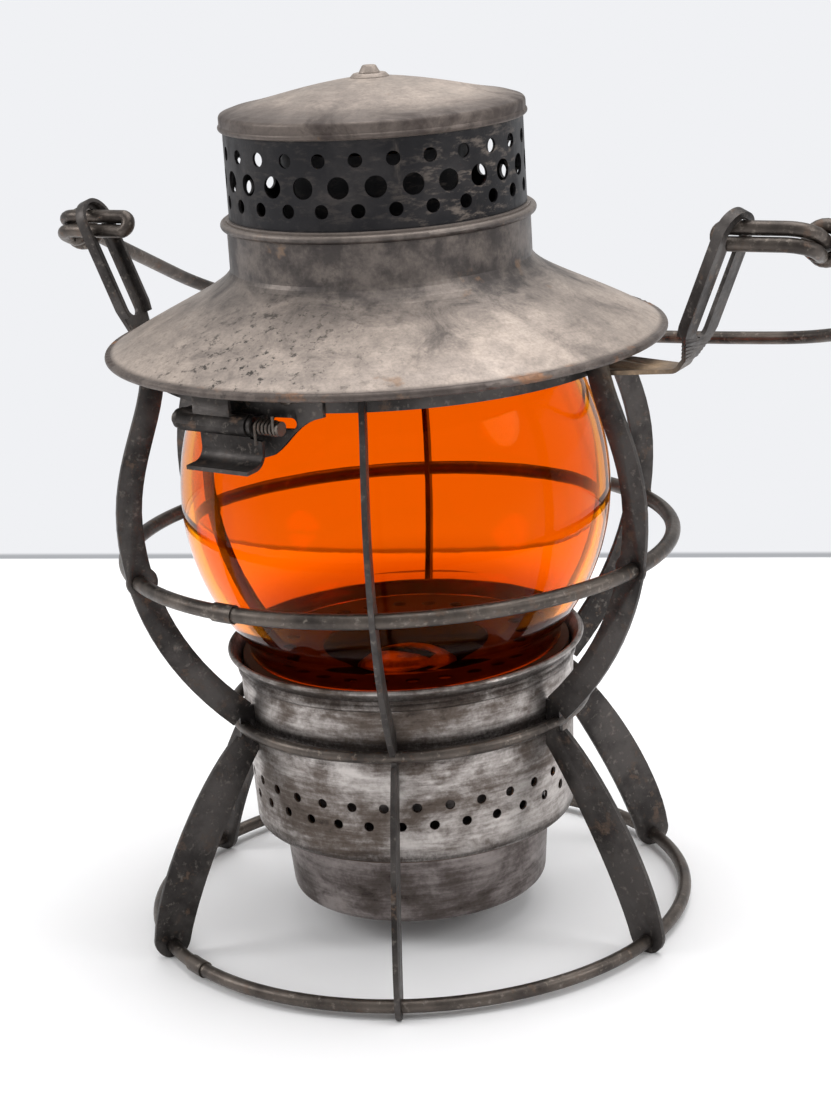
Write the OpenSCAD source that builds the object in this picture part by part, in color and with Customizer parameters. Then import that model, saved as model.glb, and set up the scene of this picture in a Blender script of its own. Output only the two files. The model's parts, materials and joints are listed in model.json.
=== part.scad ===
// Railroad hand lantern: wire and strip cage, perforated cup with a twist-off fount,
// amber globe, hinged lid with a wide skirt, and a wire bail in two slotted ears.
// Millimetres, +Z up, standing on Z = 0 with its axis on the Z axis.
// Azimuth 0 is -Y, and 90 is +X.

/* [Rings] */
// Radius of the base and middle rings, at the middle of the wire
ring_r = 77.5; // [75:0.5:82]
// Wire of the base ring
base_wire_d = 3.8; // [3:0.1:4.6]
// Height of the base ring's wire above the ground
base_ring_z = 3.4; // [3:0.1:5]
// Wire of the middle ring
middle_wire_d = 4.2; // [3:0.1:4.8]
// Height of the middle ring above the foot of the globe
middle_ring_up = 31; // [26:0.5:36]
// Wire of the waist ring
waist_wire_d = 3.4; // [2.4:0.1:4]
// Height of the waist ring above the floor of the cup
waist_ring_up = 33.7; // [28:0.1:36]

/* [Guard bars] */
// Azimuth of the first guard bar
bar_azimuth = 20; // [18:1:22]
// Thickness of a bar
bar_t = 1.5; // [1:0.1:2]
// How far the middle of the bars stands outside the rings at their widest
bar_bulge = 1; // [0:0.5:4]
// Width of a bar at the band
bar_top_w = 6.2; // [5:0.1:7]
// Width of a bar at the cup
bar_cup_w = 8; // [7:0.1:9]
// Width of a leg half way down
leg_w = 11.5; // [9:0.1:13]
// Width of the rounded foot
foot_w = 10.4; // [8:0.1:12]

/* [Cup] */
// Height of the cup's floor above the ground
cup_z = 30.4; // [28:0.1:36]
// Height of the cup from its floor to its lip
cup_h = 52.5; // [50:0.5:56]
// Outer radius of the cup under its lip
cup_top_r = 47.9; // [46.5:0.1:50]
// How much narrower the cup is at its floor
cup_taper = 1.7; // [0:0.1:3]
// How far the flared lip stands out
lip_over = 3.2; // [2:0.1:5]
// Thickness of the cup's sheet
cup_wall = 0.8; // [0.6:0.1:1.2]
// Air holes in each of the two rows round the cup
cup_holes = 32; // [24:2:36]
// Air hole
cup_hole_d = 2.8; // [2:0.1:3.4]
// Height of the lower row of air holes above the floor of the cup
cup_hole_up = 11.5; // [9:0.5:14]
// Distance between the two rows of air holes
cup_row_pitch = 5.5; // [4.5:0.5:7]

/* [Globe] */
// Largest outer radius of the globe
globe_r = 60.6; // [57:0.1:63]
// Height of the globe
globe_h = 86; // [82:0.5:90]
// Height of the widest place above the globe's foot
globe_bulge_up = 46.6; // [42:0.1:50]
// Outer radius of the globe's foot
globe_foot_r = 44.6; // [43:0.1:45.5]
// Outer radius of the globe's upper rim
globe_rim_r = 50.4; // [47:0.1:52]
// Thickness of the glass
globe_wall = 3; // [2:0.1:4]
// How far the foot of the globe stands below the cup's lip
globe_drop = 2.5; // [1.5:0.1:4]

/* [Band and lid] */
// Outer radius of the top band
band_r = 65; // [63.5:0.1:66]
// Height of the top band
band_h = 9.5; // [8:0.1:11]
// How far the band's lower edge lies below the top of the globe
band_lap = 3.3; // [1:0.1:5]
// Thickness of the band's sheet
band_wall = 0.8; // [0.6:0.1:1.1]
// Radius of the roll along the band's upper edge
band_roll = 1.2; // [0.9:0.1:1.4]
// How far the lid's skirt reaches beyond the band
skirt_over = 13; // [12:0.1:16]
// How far the skirt's edge hangs below the lid's seat on the band
skirt_drop = 2.3; // [1.5:0.1:2.6]
// Height of the lid from its seat to the top of its neck
neck_h = 32.5; // [30:0.5:36]
// Outer radius of the neck
neck_r = 41.7; // [39:0.1:44]
// Thickness of the lid's sheet
lid_wall = 0.8; // [0.6:0.1:1.1]
// Height of the perforated band above the neck
chimney_h = 27.5; // [25:0.5:30]
// Holes in each of the three rows round the perforated band
chimney_holes = 26; // [20:1:28]
// Holes of the middle row
big_hole_d = 5.8; // [4:0.1:6]
// Holes of the upper and lower rows
small_hole_d = 3.8; // [3:0.1:4.4]
// Height of the cap's cone
cap_rise = 8; // [6:0.5:11]
// Radius of the inner draft tube
draft_r = 26; // [22:0.5:30]

/* [Hinge and latch] */
// Azimuth of the latch, with the lid's hinge opposite
latch_azimuth = -8; // [-9:1:-7]
// How far the lid's hinge pin lies outside the band
hinge_out = 9; // [8.5:0.1:9.5]
// Hinge pin
hinge_pin_d = 2.4; // [2:0.1:2.8]
// Outer diameter of the hinge knuckles
knuckle_d = 5.2; // [4.6:0.1:5.6]
// Width of the lid's knuckle
leaf_w = 11.4; // [9:0.1:13]
// How far the latch pin lies outside the band
latch_out = 5; // [4.5:0.1:5.5]
// Latch pin
latch_pin_d = 2.2; // [1.8:0.1:2.4]
// Outer diameter of the latch's rolled barrel
barrel_d = 6; // [5:0.1:6.2]
// Length of the latch's rolled barrel
barrel_l = 22.4; // [20:0.1:23]
// Width of the thumb lip
thumb_w = 20; // [17:0.5:22]
// How far the thumb lip reaches below the latch pin
thumb_drop = 11.6; // [10:0.1:13]

/* [Ears and bail] */
// Height of the bail's pivot above the band's lower edge
pivot_up = 36.3; // [33:0.1:40]
// How far outside the band the ears turn upwards
ear_out = 19; // [18:0.1:21]
// How far the bent ears stand towards +X
ear_shift = 4.5; // [0:0.5:5]
// Outward lean of the ears
ear_lean = 22.5; // [18:0.5:26]
// How far the right ear is twisted
ear_twist = 15; // [0:1:18]
// Width of an ear
ear_w = 14; // [13.4:0.1:15]
// Thickness of the ear's sheet
ear_t = 1.2; // [1:0.1:1.5]
// Depth of the flange round an ear
ear_flange = 1.8; // [1.4:0.1:3.5]
// Width of the ear's slot
slot_w = 4.6; // [4.2:0.1:6]
// Wire of the bail
bail_wire_d = 4; // [3.4:0.1:4.1]
// Distance from an ear's top to the bail's side, at the middle of the wire
bail_side = 16.6; // [15:0.1:21]
// Height of the bail above its pivot, at the middle of the wire
bail_h = 133; // [125:1:145]
// Radius of the bail's upper corners
bail_corner_r = 60; // [45:1:70]
// Radius of the bail's flat top
bail_top_r = 400; // [250:10:500]
// How far an eye reaches inwards from the ear's top
eye_reach = 10.4; // [9.4:0.1:10.8]
// Angle of the resting bail below the horizontal
bail_rest = 25; // [20:1:30]
// How far the loose bail has slid towards +X
bail_shift = 8; // [0:0.5:8]

/* [Fount and burner] */
// Outer radius of the fount
fount_r = 37.9; // [36:0.1:38.5]
// Height of the fount
fount_h = 46; // [42:0.5:48]
// How far the fount hangs below the cup's floor
fount_drop = 22; // [20:0.1:23]
// Thickness of the fount's sheet
fount_wall = 0.7; // [0.5:0.1:1]
// Angle from a locked bayonet lug to its notch
lock_angle = 40; // [30:1:50]
// Outer radius of the burner's gallery
gallery_r = 18; // [16:0.5:19]
// Height of the burner's gallery
gallery_h = 8.5; // [8:0.1:10]
// Width of the flat wick
wick_w = 12.6; // [10:0.1:14]
// Thickness of the wick
wick_t = 1.6; // [1.2:0.1:2]
// Travel of the wick
wick_travel = 6; // [4:0.5:6]
// Radius of the wick wheels
wick_wheel_r = 3.4; // [3:0.1:3.6]
// Diameter of the wick knob
wick_knob_d = 10; // [8:0.5:11]
// Distance of the wick knob's face from the axis
wick_knob_reach = 33; // [28:0.5:34]

/* [Hidden] */
$fn = 96;
bar_count = 6;

// Clearances and small sizes
run_gap = 0.25;      // between pieces that move past each other
pin_gap = 0.05;      // round a turning pin
fit_gap = 0.02;      // between pieces fastened together
rivet_d = 2.4;
rivet_head_d = 1.7 * rivet_d;
rivet_head_h = 1;
plate_t = 1.2;       // brackets of hinge and latch

// How far each bar is bent round from its even place, in degrees
bar_bends = [2, 1, 0, 0, 0, 0];

// Radii that follow the rings, the cup and the band
bar_bulge_r = ring_r + bar_bulge;
cup_floor_r = cup_top_r - cup_taper;
lip_r = cup_top_r + lip_over;
skirt_r = band_r + skirt_over;
hinge_r = band_r + hinge_out;
latch_r = band_r + latch_out;
ear_r = band_r + ear_out;

// Heights, from the ground up
waist_ring_z = cup_z + waist_ring_up;
lip_z = cup_z + cup_h;
globe_z = lip_z - globe_drop;
globe_top_z = globe_z + globe_h;
globe_bulge_z = globe_z + globe_bulge_up;
middle_ring_z = globe_z + middle_ring_up;
band_z = globe_top_z - band_lap;
band_top_z = band_z + band_h;
seat_z = band_top_z + run_gap;
skirt_z = seat_z - skirt_drop;
neck_top_z = seat_z + neck_h;
chimney_top_z = neck_top_z + chimney_h;
hinge_z = band_z + 0.3;
latch_z = band_z - 2.5;
pivot_z = band_z + pivot_up;
bar_top_z = band_top_z - 2 * band_roll - fit_gap;
fount_z = cup_z - fount_drop;
fount_top_z = fount_z + fount_h;
gallery_z = fount_top_z + 4;
wheel_z = gallery_z + wick_wheel_r + 1;
cone_z = gallery_z + gallery_h;
bars = [for (i = [0 : bar_count - 1]) bar_azimuth + 360 / bar_count * i + bar_bends[i]];

// Points and outlines
function bezier(a, b, c, d, n) = [for (i = [0 : n]) let (t = i / n, s = 1 - t)
    s * s * s * a + 3 * s * s * t * b + 3 * s * t * t * c + t * t * t * d];
function arc(x, z, r, from, to, n) = [for (i = [0 : n])
    let (a = from + (to - from) * i / n) [x + r * cos(a), z + r * sin(a)]];
function reversed(list) = [for (i = [len(list) - 1 : -1 : 0]) list[i]];
function normal_at(p, i) =
    let (d = p[min(i + 1, len(p) - 1)] - p[max(i - 1, 0)]) [d[1], -d[0]] / norm(d);
function shifted(p, d) = [for (i = [0 : len(p) - 1])
    p[i] + normal_at(p, i) * (is_list(d) ? d[i] : d)];
function strip_outline(p, w) = concat(shifted(p, w), reversed(shifted(p, -w)));
function sheet_outline(p, wall) = concat(p, reversed(shifted(p, -wall)));

// Lid's outer line from the edge of the skirt to the top of the neck
skirt_edge = [skirt_r - 1.1, skirt_z];
skirt_line = bezier(skirt_edge, [skirt_r - 16, skirt_z + 9.1], [neck_r + 2.2, skirt_z + 15.2],
    [neck_r, skirt_z + 20.6], 16);
dome_line = concat(skirt_line, [[neck_r, neck_top_z]]);

// Cup's outer line from the hole in its floor to its lip
floor_hole_r = fount_r + 0.35;
bead_z = lip_z - 5.8;
cup_line = concat(
    [[floor_hole_r, cup_z]],
    arc(cup_floor_r - 2, cup_z + 2, 2, -90, -2, 5),
    [[cup_top_r, bead_z - 1.2]],
    arc(cup_top_r - 0.5, bead_z, 1.3, -50, 50, 4),
    [[cup_top_r + 0.3, lip_z - 3.9], [cup_top_r + 1.6, lip_z - 2], [lip_r - 0.8, lip_z - 0.8]]);

// Globe's outer line from its foot to its rim: a lower and an upper arc meet at the widest place
globe_foot_h = 5;
globe_rim_h = 4;
low_rise = globe_bulge_up - globe_foot_h;
high_rise = globe_h - globe_bulge_up - globe_rim_h;
function arc_radius(run, rise) = (run * run + rise * rise) / (2 * run);
low_r = arc_radius(globe_r - globe_foot_r - 0.6, low_rise);
high_r = arc_radius(globe_r - globe_rim_r - 0.8, high_rise);
globe_line = concat(
    [[globe_foot_r, globe_z]],
    arc(globe_r - low_r, globe_bulge_z, low_r, -asin(low_rise / low_r), 0, 16),
    arc(globe_r - high_r, globe_bulge_z, high_r, asin(high_rise / high_r) / 16,
        asin(high_rise / high_r), 15),
    [[globe_rim_r, globe_top_z]]);

// Middle line of a guard bar above the cup, and of its leg
bar_foot_r = cup_top_r + 3.3;
bar_line = concat(
    [[band_r + bar_top_w / 2, bar_top_z]],
    bezier([band_r + bar_top_w / 2, bar_top_z - 0.5], [band_r + 4, band_z - 7],
        [bar_bulge_r, globe_bulge_z + 18], [bar_bulge_r, globe_bulge_z], 12),
    [for (p = bezier([bar_bulge_r, globe_bulge_z], [bar_bulge_r, globe_bulge_z - 21],
        [bar_bulge_r - 9, lip_z + 2.6], [bar_foot_r, waist_ring_z + 4], 14))
        if (p[1] < globe_bulge_z) p]);
bar_half = [for (i = [0 : len(bar_line) - 1])
    (bar_top_w + (bar_cup_w - bar_top_w) * i / (len(bar_line) - 1)) / 2];
leg_line = bezier([bar_foot_r - 1, waist_ring_z - 4.6], [bar_foot_r + 8.8, waist_ring_z - 16],
    [ring_r - 2.5, base_ring_z + 16.6], [ring_r, base_ring_z + 1.4], 14);
leg_half = [for (i = [0 : 14]) let (t = i / 14)
    ((1 - t) * (1 - 2 * t) * bar_cup_w + 4 * t * (1 - t) * leg_w + t * (2 * t - 1) * foot_w) / 2];

module at_azimuth(a) rotate([0, 0, a - 90]) children();
module ring(r, d, z) translate([0, 0, z]) rotate_extrude() translate([r, 0]) circle(d = d);
module ring_part(r, d, z, from, to) translate([0, 0, z]) rotate([0, 0, from - 90])
    rotate_extrude(angle = to - from) translate([r, 0]) circle(d = d);
module turned(points) rotate_extrude() polygon(points);
module tube(r, wall, z, h) translate([0, 0, z]) difference() {
    cylinder(r = r, h = h);
    translate([0, 0, -1]) cylinder(r = r - wall, h = h + 2);
}
// An outline in radius and height, as a plate of thickness t in a radial plane
module radial_plate(t) rotate([90, 0, 0]) linear_extrude(t, center = true) children();
// A rod along Y, at a radius and a height
module cross_rod(r, z, d, from, to) translate([r, from, z]) rotate([-90, 0, 0])
    cylinder(d = d, h = to - from);
// A sheet pad that follows the outside of the band, before band_core trims its inside
module band_pad(half_w, z, h) intersection() {
    tube(band_r + fit_gap + plate_t, plate_t + 2, z, h);
    translate([0, -half_w, z]) cube([2 * band_r, 2 * half_w, h]);
}
// The space inside the band, which trims what is fastened round it
module band_core(below) translate([0, 0, band_z - below])
    cylinder(r = band_r + fit_gap, h = 2 * band_h + below);
// Places of the rivets: azimuth of the piece and offsets along the band
rivet_up = 4.6;
rivet_sets = [[90, 6], [270, 6], [latch_azimuth + 180, 6.4], [latch_azimuth, 14]];
module each_rivet() for (s = rivet_sets, side = [-1, 1])
    at_azimuth(s[0] + side * asin(s[1] / band_r))
        translate([band_r, 0, band_z + rivet_up]) rotate([0, 90, 0]) children();
module rivet_holes() each_rivet() cylinder(d = rivet_d + 2 * fit_gap, h = 12, center = true);

// Rings
base_joint_azimuth = -27;
middle_joint_azimuth = -9;
joint_half = 2.4;
module jointed_ring(d, z, joint_azimuth) {
    ring(ring_r, d, z);
    ring_part(ring_r, d + 0.9, z, joint_azimuth - joint_half, joint_azimuth + joint_half);
}
module base_ring() color("#4f4a45") jointed_ring(base_wire_d, base_ring_z, base_joint_azimuth);
module middle_ring() color("#57534e") jointed_ring(middle_wire_d, middle_ring_z, middle_joint_azimuth);
waist_ring_r = cup_top_r + waist_wire_d / 2 + 1.2;
module waist_ring() color("#5b554f") ring(waist_ring_r, waist_wire_d, waist_ring_z);

// Guard bars: arc, neck along the cup and leg in one strip
module bar_outline() {
    polygon(strip_outline(bar_line, bar_half));
    polygon(strip_outline(leg_line, leg_half));
    translate([cup_floor_r, waist_ring_z - 7.4]) square([waist_ring_r + 1.2 - cup_floor_r, 13.4]);
    translate([ring_r, foot_w / 2 - 0.2]) circle(d = foot_w);
    translate([ring_r - 1, middle_ring_z]) circle(d = middle_wire_d + 4.6);
}
module cup_body() turned(concat([[0, cup_z]], cup_line, [[0, lip_z - 0.8]]));
module guard_bar(i) color("#3f3b38") difference() {
    at_azimuth(bars[i]) radial_plate(bar_t) bar_outline();
    cup_body();
    band_core(0);
    ring(ring_r, base_wire_d + 2 * fit_gap, base_ring_z);
    ring(ring_r, middle_wire_d + 2 * fit_gap, middle_ring_z);
    ring(waist_ring_r, waist_wire_d + 2 * fit_gap, waist_ring_z);
    translate([0, 0, -10]) cylinder(r = 2 * ring_r, h = 10);
}

// Band at the top of the cage
module top_band() color("#3d3a38") difference() {
    union() {
        tube(band_r, band_wall, band_z, band_h - band_roll);
        ring(band_r - band_roll / 4, 2 * band_roll, band_top_z - band_roll);
    }
    rivet_holes();
}
tail_z = -band_wall - 0.05;
head_z = plate_t + 0.12;
module frame_rivets() color("#514b46") each_rivet() {
    translate([0, 0, tail_z - rivet_head_h]) cylinder(d = rivet_head_d, h = rivet_head_h);
    translate([0, 0, tail_z - 0.1]) cylinder(d = rivet_d, h = head_z - tail_z + 0.2);
    translate([0, 0, head_z]) cylinder(d1 = rivet_head_d, d2 = rivet_d, h = rivet_head_h);
}

// Bail ears: a tab on the band, a bend, and a leaning slotted web with a flange round it
tab_z = band_z + 0.3;
tab_half = 9.2;
root_half = 4.6;
web_z = tab_z + 3.4;
web_l = (pivot_z - web_z) / cos(ear_lean);
web_over = 0.9;
ear_top_r = ear_r + web_over + (pivot_z - web_z) * tan(ear_lean);
bail_half_w = ear_top_r + bail_side;
eye_in = ear_top_r - eye_reach;
pair_pitch = bail_wire_d + 0.3;
eye_hole_r = (pair_pitch + bail_wire_d) / 2 + 0.3;
function web_points(inset) = concat(
    [[-root_half + inset, 0], [root_half - inset, 0], [ear_w / 2 - inset, 9]],
    arc(0, web_l, ear_w / 2 - inset, 0, 180, 20),
    [[-ear_w / 2 + inset, 9]]);
module standing(from, h) rotate([90, 0, 90]) translate([0, 0, from]) linear_extrude(h) children();
bend_half = root_half - 0.3;
function ear_line(r) = concat(
    [[band_r - 3, tab_z + ear_t / 2]],
    arc(r - 3, tab_z + 3.6, 3.6 - ear_t / 2, -90, -ear_lean, 5),
    [[r + web_over, web_z + 0.4]]);
module ear_tab(r) intersection() {
    radial_plate(2 * tab_half + 2) polygon(strip_outline(ear_line(r), ear_t / 2));
    translate([0, 0, tab_z - 1]) linear_extrude(12) polygon([[band_r - 4, -tab_half],
        [band_r + 5, -tab_half], [r - 3, -bend_half], [r + 5, -bend_half],
        [r + 5, bend_half], [r - 3, bend_half], [band_r + 5, tab_half],
        [band_r - 4, tab_half]]);
}
// The web is a shallow tray, open below, with its slot up to the eye's hole
module ear_tray() difference() {
    standing(-ear_t / 2 - ear_flange, ear_flange + ear_t) polygon(web_points(0));
    standing(-ear_t / 2 - ear_flange - 1, ear_flange + 1) {
        polygon(web_points(ear_t));
        translate([-ear_w, -1]) square([2 * ear_w, 7]);
    }
    standing(-ear_t, 2 * ear_t) polygon(concat(arc(0, neck_l + 2.5, slot_w / 2, 180, 360, 10),
        [[slot_w / 2, web_l], [-slot_w / 2, web_l]]));
}
// Its neck takes the twist up in short steps
neck_l = 6;
neck_steps = 6;
module slice_of_web(from, to) intersection() {
    ear_tray();
    translate([-ear_w, -ear_w, from]) cube([2 * ear_w, 2 * ear_w, to - from]);
}
module ear_web(r, twist) translate([r + web_over, 0, web_z]) rotate([0, ear_lean, 0])
    if (twist == 0) {
        ear_tray();
    } else {
        for (i = [0 : neck_steps - 1]) rotate([0, 0, -twist * (i + 0.5) / neck_steps])
            slice_of_web(neck_l * (i - 0.2) / neck_steps, neck_l * (i + 1.2) / neck_steps);
        rotate([0, 0, -twist]) slice_of_web(neck_l, web_l + ear_w);
    }
module ear(r, twist = 0) difference() {
    union() {
        band_pad(tab_half - 0.4, tab_z + 0.3, bar_top_z - tab_z - 0.3);
        ear_tab(r);
        ear_web(r, twist);
    }
    band_core(0);
    translate([r + web_over, 0, pivot_z]) rotate([0, 90, 0]) cylinder(r = eye_hole_r, h = 4 * ear_w);
}
module bail_ear_right() color("#463f3b") difference() {
    ear(ear_r + ear_shift, ear_twist);
    rivet_holes();
}
module bail_ear_left() color("#4a423c") difference() {
    rotate([0, 0, 180]) ear(ear_r - ear_shift);
    rivet_holes();
}

// Cup, globe and the seat between them
module cup_air_holes() for (row = [0, 1], i = [0 : cup_holes - 1])
    at_azimuth(360 / cup_holes * (i + row / 2))
        translate([cup_floor_r - 6, 0, cup_z + cup_hole_up + cup_row_pitch * row])
            rotate([0, 90, 0]) cylinder(d = cup_hole_d, h = 14);
notch_half = 7;
lug_azimuths = [40, 160, 280];
module floor_notches() for (a = lug_azimuths) at_azimuth(a - lock_angle)
    rotate([0, 0, -notch_half]) translate([0, 0, cup_z - 1])
        rotate_extrude(angle = 2 * notch_half) square([floor_hole_r + 2.8, 4]);
module globe_cup() color("#8a827b") difference() {
    union() {
        turned(sheet_outline(cup_line, cup_wall));
        ring(lip_r - 0.8, 1.6, lip_z - 0.8);
    }
    cup_air_holes();
    floor_notches();
}
seat_r = cup_top_r - cup_wall - run_gap;
seat_t = 0.8;
seat_skirt = 4;
module globe_seat() color("#6d655e") difference() {
    union() {
        tube(seat_r, seat_r - gallery_r - 6, globe_z - seat_t, seat_t);
        tube(seat_r, seat_t, globe_z - seat_skirt, seat_skirt - seat_t);
    }
    for (i = [0 : 23]) at_azimuth(15 * i) translate([(gallery_r + seat_r) / 2 + 1.5, 0, globe_z - 3])
        cylinder(d = 4.2, h = 6);
}
module globe() color("#f07a12", 0.75) turned(sheet_outline(globe_line, globe_wall));

// Hinge at the back
knuckle_w = 4;
pin_over = 1.2;
hinge_half = leaf_w / 2 + run_gap + knuckle_w;
module at_hinge() at_azimuth(latch_azimuth + 180) children();
module knuckle_outline(d) {
    translate([hinge_r, hinge_z]) circle(d = d);
    polygon([[band_r + 0.6, hinge_z + 2.2], [band_r + 0.6, hinge_z - 0.3],
        [hinge_r, hinge_z - d / 2], [hinge_r + 0.4, hinge_z + d / 2 - 0.3]]);
}
module hinge_bracket() color("#453f3b") difference() {
    at_hinge() {
        band_pad(hinge_half, band_z, bar_top_z - band_z);
        for (side = [-1, 1]) translate([0, side * (hinge_half - knuckle_w / 2), 0])
            radial_plate(knuckle_w) knuckle_outline(knuckle_d);
    }
    band_core(band_h);
    at_hinge() cross_rod(hinge_r, hinge_z, hinge_pin_d, -2 * leaf_w, 2 * leaf_w);
    rivet_holes();
}
module hinge_pin() color("#6a625b") at_hinge() {
    cross_rod(hinge_r, hinge_z, hinge_pin_d, -hinge_half - pin_over, hinge_half + pin_over);
    for (y = [-hinge_half - pin_over, hinge_half + fit_gap])
        cross_rod(hinge_r, hinge_z, hinge_pin_d + 1.4, y, y + pin_over - fit_gap);
}
// Space above the underside of the skirt, which trims what is brazed under it
module above_skirt() turned(concat(shifted(skirt_line, -lid_wall - fit_gap),
    [[neck_r - lid_wall, 2 * seat_z], [2 * skirt_r, 2 * seat_z], [2 * skirt_r, skirt_z - 3]]));
module hinge_leaf() color("#57514b") difference() {
    at_hinge() {
        radial_plate(leaf_w) {
            translate([hinge_r, hinge_z]) circle(d = knuckle_d);
            translate([hinge_r + 0.3, hinge_z]) square([plate_t, seat_z - hinge_z]);
        }
        radial_plate(leaf_w + 8) polygon([[hinge_r + 1.4, skirt_z + 3.6], [hinge_r + 1.4, skirt_z - 0.4],
            [hinge_r - 0.4, skirt_z + 0.6], [hinge_r - 5, skirt_z + 3.4], [hinge_r - 5, skirt_z + 6]]);
    }
    above_skirt();
    at_hinge() cross_rod(hinge_r, hinge_z, hinge_pin_d + 2 * pin_gap, -leaf_w, leaf_w);
}

// Latch at the front: brackets and spring on the band, lever on the pin, catch under the skirt
barrel_y = -5;
cheek_t = 1.2;
cheek_gap = 0.3;
spring_wire = 0.8;
spring_r = latch_pin_d / 2 + spring_wire / 2 + 0.25;
spring_turns = 5;
spring_l = 6;
module at_latch() at_azimuth(latch_azimuth) children();
cheek_in = barrel_y - barrel_l / 2 - cheek_gap;
cheek_out = barrel_y + barrel_l / 2 + cheek_gap;
bracket_low_z = latch_z - thumb_drop + 2.2;
plate_reach = cheek_out + 17;
module latch_plate_outline() difference() {
    polygon(concat([[cheek_in - cheek_t, bar_top_z], [cheek_in - cheek_t, latch_z - 3],
        [cheek_in + 3, latch_z - 4.2], [cheek_out - 4, latch_z - 5],
        [cheek_out + 0.4, bracket_low_z]],
        bezier([cheek_out + 3, bracket_low_z + 0.8], [cheek_out + 8, bracket_low_z + 4],
            [plate_reach - 7, latch_z + 0.6], [plate_reach, latch_z + 1.6], 8),
        [[plate_reach, bar_top_z]]));
    polygon(concat(arc(cheek_out + 4.4, latch_z, 1.5, 90, 270, 12),
        arc(cheek_out + 8.6, latch_z, 1.5, -90, 90, 12)));
}
module latch_bracket() color("#38332f") difference() {
    at_latch() {
        intersection() {
            tube(band_r + fit_gap + plate_t, plate_t + 2, bracket_low_z - 1,
                bar_top_z - bracket_low_z + 1);
            rotate([90, 0, 90]) linear_extrude(2 * band_r) latch_plate_outline();
        }
        for (y = [cheek_in - cheek_t / 2, cheek_out + cheek_t / 2]) translate([0, y, 0])
            radial_plate(cheek_t) {
                translate([latch_r, latch_z]) circle(d = barrel_d - 0.8);
                translate([band_r - 3, latch_z - 2.4]) square([latch_r - band_r + 3, 4.6]);
            }
    }
    band_core(2 * thumb_drop);
    at_latch() cross_rod(latch_r, latch_z, latch_pin_d, -2 * barrel_l, 2 * barrel_l);
    rivet_holes();
}
pin_left = cheek_in - cheek_t - 1;
pin_right = cheek_out + cheek_t + spring_l + 2.6;
module latch_pin() color("#6a5e50") at_latch() {
    cross_rod(latch_r, latch_z, latch_pin_d, pin_left, pin_right);
    cross_rod(latch_r, latch_z, latch_pin_d + 1.2, pin_left, pin_left + 0.9);
    cross_rod(latch_r, latch_z, latch_pin_d + 1.6, pin_right - 0.9, pin_right);
}
// One tube round a path of points
function unit3(v) = v / norm(v);
module swept(path, d, sides) {
    n = len(path);
    tangents = [for (i = [0 : n - 1]) unit3(path[min(i + 1, n - 1)] - path[max(i - 1, 0)])];
    turns = [for (k = [0 : sides - 1]) d / 2 * [cos(360 / sides * k), sin(360 / sides * k)]];
    rings = [for (i = [0 : n - 1]) let (
        u = unit3(cross(tangents[i], [0.001, 1, 0.002])), v = cross(tangents[i], u))
        for (c = turns) path[i] + u * c[0] + v * c[1]];
    sides_faces = [for (i = [0 : n - 2], k = [0 : sides - 1]) let (
        a = i * sides + k, b = i * sides + (k + 1) % sides)
        each [[a, b, b + sides], [a, b + sides, a + sides]]];
    ends = [for (k = [1 : sides - 2]) each
        [[0, k + 1, k], [(n - 1) * sides, (n - 1) * sides + k, (n - 1) * sides + k + 1]]];
    polyhedron(rings, concat(sides_faces, ends));
}
spring_rise = spring_l / spring_turns;
spring_path = concat(
    [[spring_r, 0.4, -4.6]],
    [for (i = [0 : 8 * spring_turns]) [spring_r * cos(45 * i), 0.4 + spring_rise * i / 8,
        spring_r * sin(45 * i)]],
    [[spring_r, 0.4 + spring_l, 3.6]]);
module latch_spring() color("#7d776f") at_latch()
    translate([latch_r, cheek_out + cheek_t + 0.8, latch_z]) swept(spring_path, spring_wire, 6);

hook_half = 6;
thumb_y = 4.6;
module latch_lever() color("#4b433c") at_latch() difference() {
    translate([0, barrel_y, 0]) {
        radial_plate(barrel_l) translate([latch_r, latch_z]) circle(d = barrel_d);
        intersection() {
            translate([0, thumb_y, 0]) radial_plate(thumb_w) polygon(concat(
                [[latch_r + 0.4, latch_z - 1.6], [latch_r - 0.7, latch_z - 2]],
                arc(latch_r + 3.6, latch_z - thumb_drop + 5, 4.6, 176, 262, 6),
                [[latch_r + 7, latch_z - thumb_drop + 0.2], [latch_r + 7, latch_z - thumb_drop + 1.3]],
                reversed(arc(latch_r + 3.6, latch_z - thumb_drop + 5, 3.5, 176, 262, 6))));
            rotate([90, 0, 90]) linear_extrude(2 * latch_r) polygon([[-barrel_l, latch_z],
                [barrel_l / 2 - 0.2, latch_z], [barrel_l / 2 - 0.2, latch_z - barrel_d / 2 - 0.4],
                [barrel_l, latch_z - barrel_d / 2 - 2], [barrel_l, latch_z - 2 * thumb_drop],
                [-barrel_l, latch_z - 2 * thumb_drop]]);
        }
        radial_plate(2 * hook_half) polygon([[latch_r + 0.8, latch_z], [latch_r + 2, latch_z],
            [latch_r + 2, seat_z - 2.9], [latch_r + 0.2, seat_z - 2.9], [latch_r - 0.1, seat_z - 3.9],
            [latch_r + 0.8, seat_z - 3.9]]);
    }
    cross_rod(latch_r, latch_z, latch_pin_d + 2 * pin_gap, -2 * barrel_l, 2 * barrel_l);
}
catch_r = latch_r - 1.5;
module latch_catch() color("#57514b") difference() {
    at_latch() translate([0, barrel_y, 0]) {
        radial_plate(2 * hook_half + 4) translate([catch_r - 0.4, seat_z - 5])
            square([plate_t, 9]);
        radial_plate(2 * hook_half) translate([catch_r, seat_z - 5]) circle(r = 1.05);
    }
    above_skirt();
}

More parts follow.
